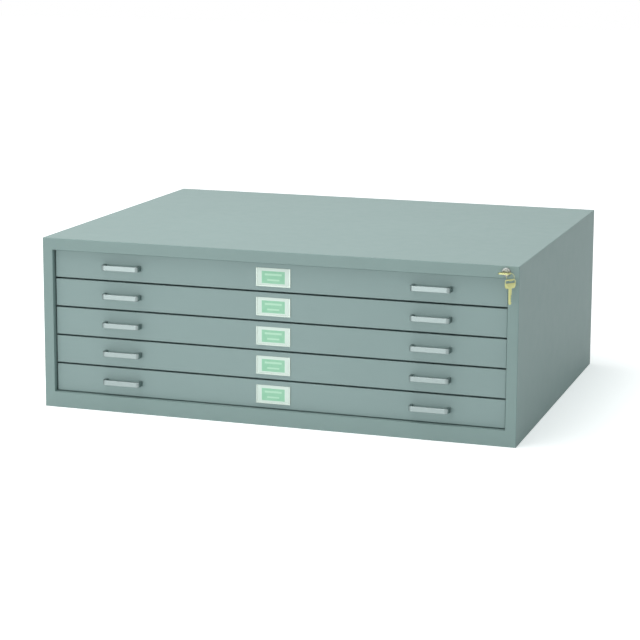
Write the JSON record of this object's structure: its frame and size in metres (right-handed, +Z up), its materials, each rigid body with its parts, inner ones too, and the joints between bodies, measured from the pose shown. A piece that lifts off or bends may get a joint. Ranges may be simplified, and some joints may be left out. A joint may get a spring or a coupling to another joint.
{
  "type": "flat file cabinet",
  "caption": "Low wide steel cabinet for flat sheets, with shallow pull-out drawers, pairs of bar pulls, card labels and a gang lock in the top rail.",
  "frame": {"origin": "middle of the base on the floor", "axes": "+X to the right seen from the front, -Y the way the drawers open, +Z up"},
  "size_m": [1.178, 0.9311, 0.4191],
  "materials": {
    "case_enamel": "grey enamel, semi-gloss",
    "drawer_enamel": "grey enamel, semi-gloss",
    "pull_nickel": "satin nickel plate",
    "lock_nickel": "bright nickel plate",
    "label_frame": "satin plated steel",
    "label_card": "matt card, printed green",
    "bare_steel": "zinc plated",
    "roller_steel": "ground steel",
    "key_brass": "stamped brass, worn bright"
  },
  "bodies": {
    "case": {"case_wrapper": "case_enamel", "back_panel": "case_enamel", "base_pan": "case_enamel", "interior_uprights": "bare_steel", "case_runners": "bare_steel", "lock_housing": "lock_nickel"},
    "drawer_1": {"drawer_1_pan": "drawer_enamel", "drawer_1_front": "drawer_enamel", "drawer_1_pulls": "pull_nickel", "drawer_1_label_holder": "label_frame", "drawer_1_label_card": "label_card", "drawer_1_rear_hood": "drawer_enamel", "drawer_1_fixings": "bare_steel"},
    "depressor_1": {"drawer_1_depressor": "drawer_enamel"},
    "rear_rollers_1": {"drawer_1_rear_rollers": "roller_steel"},
    "front_rollers_1": {"front_rollers_1": "roller_steel"},
    "drawer_2": {"drawer_2_pan": "drawer_enamel", "drawer_2_front": "drawer_enamel", "drawer_2_pulls": "pull_nickel", "drawer_2_label_holder": "label_frame", "drawer_2_label_card": "label_card", "drawer_2_rear_hood": "drawer_enamel", "drawer_2_fixings": "bare_steel"},
    "depressor_2": {"drawer_2_depressor": "drawer_enamel"},
    "rear_rollers_2": {"drawer_2_rear_rollers": "roller_steel"},
    "front_rollers_2": {"front_rollers_2": "roller_steel"},
    "drawer_3": {"drawer_3_pan": "drawer_enamel", "drawer_3_front": "drawer_enamel", "drawer_3_pulls": "pull_nickel", "drawer_3_label_holder": "label_frame", "drawer_3_label_card": "label_card", "drawer_3_rear_hood": "drawer_enamel", "drawer_3_fixings": "bare_steel"},
    "depressor_3": {"drawer_3_depressor": "drawer_enamel"},
    "rear_rollers_3": {"drawer_3_rear_rollers": "roller_steel"},
    "front_rollers_3": {"front_rollers_3": "roller_steel"},
    "drawer_4": {"drawer_4_pan": "drawer_enamel", "drawer_4_front": "drawer_enamel", "drawer_4_pulls": "pull_nickel", "drawer_4_label_holder": "label_frame", "drawer_4_label_card": "label_card", "drawer_4_rear_hood": "drawer_enamel", "drawer_4_fixings": "bare_steel"},
    "depressor_4": {"drawer_4_depressor": "drawer_enamel"},
    "rear_rollers_4": {"drawer_4_rear_rollers": "roller_steel"},
    "front_rollers_4": {"front_rollers_4": "roller_steel"},
    "drawer_5": {"drawer_5_pan": "drawer_enamel", "drawer_5_front": "drawer_enamel", "drawer_5_pulls": "pull_nickel", "drawer_5_label_holder": "label_frame", "drawer_5_label_card": "label_card", "drawer_5_rear_hood": "drawer_enamel", "drawer_5_fixings": "bare_steel"},
    "depressor_5": {"drawer_5_depressor": "drawer_enamel"},
    "rear_rollers_5": {"drawer_5_rear_rollers": "roller_steel"},
    "front_rollers_5": {"front_rollers_5": "roller_steel"},
    "lock_plug": {"lock_plug": "lock_nickel"},
    "lock_bar": {"lock_bar": "bare_steel"},
    "key": {"key": "key_brass"},
    "key_ring": {"key_ring": "key_brass"}
  },
  "joints": [
    {"name": "drawer_1_slide", "type": "slide", "parent": "case", "child": "drawer_1", "axis": [0, -1, 0], "range_m": [0, 0.64]},
    {"name": "depressor_1_lift", "type": "hinge", "parent": "drawer_1", "child": "depressor_1", "pos_m": [0, -0.40925, 0.33302], "axis": [1, 0, 0], "range_deg": [0, 17]},
    {"name": "rear_rollers_1_spin", "type": "hinge", "parent": "drawer_1", "child": "rear_rollers_1", "pos_m": [0, 0.38175, 0.34602], "axis": [1, 0, 0], "continuous": true},
    {"name": "front_rollers_1_spin", "type": "hinge", "parent": "case", "child": "front_rollers_1", "pos_m": [0, -0.4, 0.34602], "axis": [1, 0, 0], "continuous": true},
    {"name": "drawer_2_slide", "type": "slide", "parent": "case", "child": "drawer_2", "axis": [0, -1, 0], "range_m": [0, 0.64]},
    {"name": "depressor_2_lift", "type": "hinge", "parent": "drawer_2", "child": "depressor_2", "pos_m": [0, -0.40925, 0.26254], "axis": [1, 0, 0], "range_deg": [0, 17]},
    {"name": "rear_rollers_2_spin", "type": "hinge", "parent": "drawer_2", "child": "rear_rollers_2", "pos_m": [0, 0.38175, 0.27554], "axis": [1, 0, 0], "continuous": true},
    {"name": "front_rollers_2_spin", "type": "hinge", "parent": "case", "child": "front_rollers_2", "pos_m": [0, -0.4, 0.27554], "axis": [1, 0, 0], "continuous": true},
    {"name": "drawer_3_slide", "type": "slide", "parent": "case", "child": "drawer_3", "axis": [0, -1, 0], "range_m": [0, 0.64]},
    {"name": "depressor_3_lift", "type": "hinge", "parent": "drawer_3", "child": "depressor_3", "pos_m": [0, -0.40925, 0.19206], "axis": [1, 0, 0], "range_deg": [0, 17]},
    {"name": "rear_rollers_3_spin", "type": "hinge", "parent": "drawer_3", "child": "rear_rollers_3", "pos_m": [0, 0.38175, 0.20506], "axis": [1, 0, 0], "continuous": true},
    {"name": "front_rollers_3_spin", "type": "hinge", "parent": "case", "child": "front_rollers_3", "pos_m": [0, -0.4, 0.20506], "axis": [1, 0, 0], "continuous": true},
    {"name": "drawer_4_slide", "type": "slide", "parent": "case", "child": "drawer_4", "axis": [0, -1, 0], "range_m": [0, 0.64]},
    {"name": "depressor_4_lift", "type": "hinge", "parent": "drawer_4", "child": "depressor_4", "pos_m": [0, -0.40925, 0.12158], "axis": [1, 0, 0], "range_deg": [0, 17]},
    {"name": "rear_rollers_4_spin", "type": "hinge", "parent": "drawer_4", "child": "rear_rollers_4", "pos_m": [0, 0.38175, 0.13458], "axis": [1, 0, 0], "continuous": true},
    {"name": "front_rollers_4_spin", "type": "hinge", "parent": "case", "child": "front_rollers_4", "pos_m": [0, -0.4, 0.13458], "axis": [1, 0, 0], "continuous": true},
    {"name": "drawer_5_slide", "type": "slide", "parent": "case", "child": "drawer_5", "axis": [0, -1, 0], "range_m": [0, 0.64]},
    {"name": "depressor_5_lift", "type": "hinge", "parent": "drawer_5", "child": "depressor_5", "pos_m": [0, -0.40925, 0.0511], "axis": [1, 0, 0], "range_deg": [0, 17]},
    {"name": "rear_rollers_5_spin", "type": "hinge", "parent": "drawer_5", "child": "rear_rollers_5", "pos_m": [0, 0.38175, 0.0641], "axis": [1, 0, 0], "continuous": true},
    {"name": "front_rollers_5_spin", "type": "hinge", "parent": "case", "child": "front_rollers_5", "pos_m": [0, -0.4, 0.0641], "axis": [1, 0, 0], "continuous": true},
    {"name": "lock_turn", "type": "hinge", "parent": "case", "child": "lock_plug", "pos_m": [0.559, -0.44925, 0.4048], "axis": [0, -1, 0], "range_deg": [-90, 0]},
    {"name": "lock_bar_lift", "type": "slide", "parent": "case", "child": "lock_bar", "axis": [0, 0, 1], "range_m": [-0.0099, 0]},
    {"name": "key_slide", "type": "slide", "parent": "lock_plug", "child": "key", "axis": [0, -1, 0], "range_m": [0, 0.03]},
    {"name": "key_ring_hang", "type": "hinge", "parent": "key", "child": "key_ring", "pos_m": [0.57275, -0.47, 0.4048], "axis": [0, -1, 0], "range_deg": [0, 90]}
  ],
  "couplings": [
    {"joint": "rear_rollers_1_spin", "follows": "drawer_1_slide", "rad_per_m": 111.11},
    {"joint": "front_rollers_1_spin", "follows": "drawer_1_slide", "rad_per_m": 111.11},
    {"joint": "rear_rollers_2_spin", "follows": "drawer_2_slide", "rad_per_m": 111.11},
    {"joint": "front_rollers_2_spin", "follows": "drawer_2_slide", "rad_per_m": 111.11},
    {"joint": "rear_rollers_3_spin", "follows": "drawer_3_slide", "rad_per_m": 111.11},
    {"joint": "front_rollers_3_spin", "follows": "drawer_3_slide", "rad_per_m": 111.11},
    {"joint": "rear_rollers_4_spin", "follows": "drawer_4_slide", "rad_per_m": 111.11},
    {"joint": "front_rollers_4_spin", "follows": "drawer_4_slide", "rad_per_m": 111.11},
    {"joint": "rear_rollers_5_spin", "follows": "drawer_5_slide", "rad_per_m": 111.11},
    {"joint": "front_rollers_5_spin", "follows": "drawer_5_slide", "rad_per_m": 111.11},
    {"joint": "lock_turn", "follows": "lock_bar_lift", "rad_per_m": 158.67},
    {"joint": "key_ring_hang", "follows": "lock_bar_lift", "rad_per_m": -158.67}
  ]
}
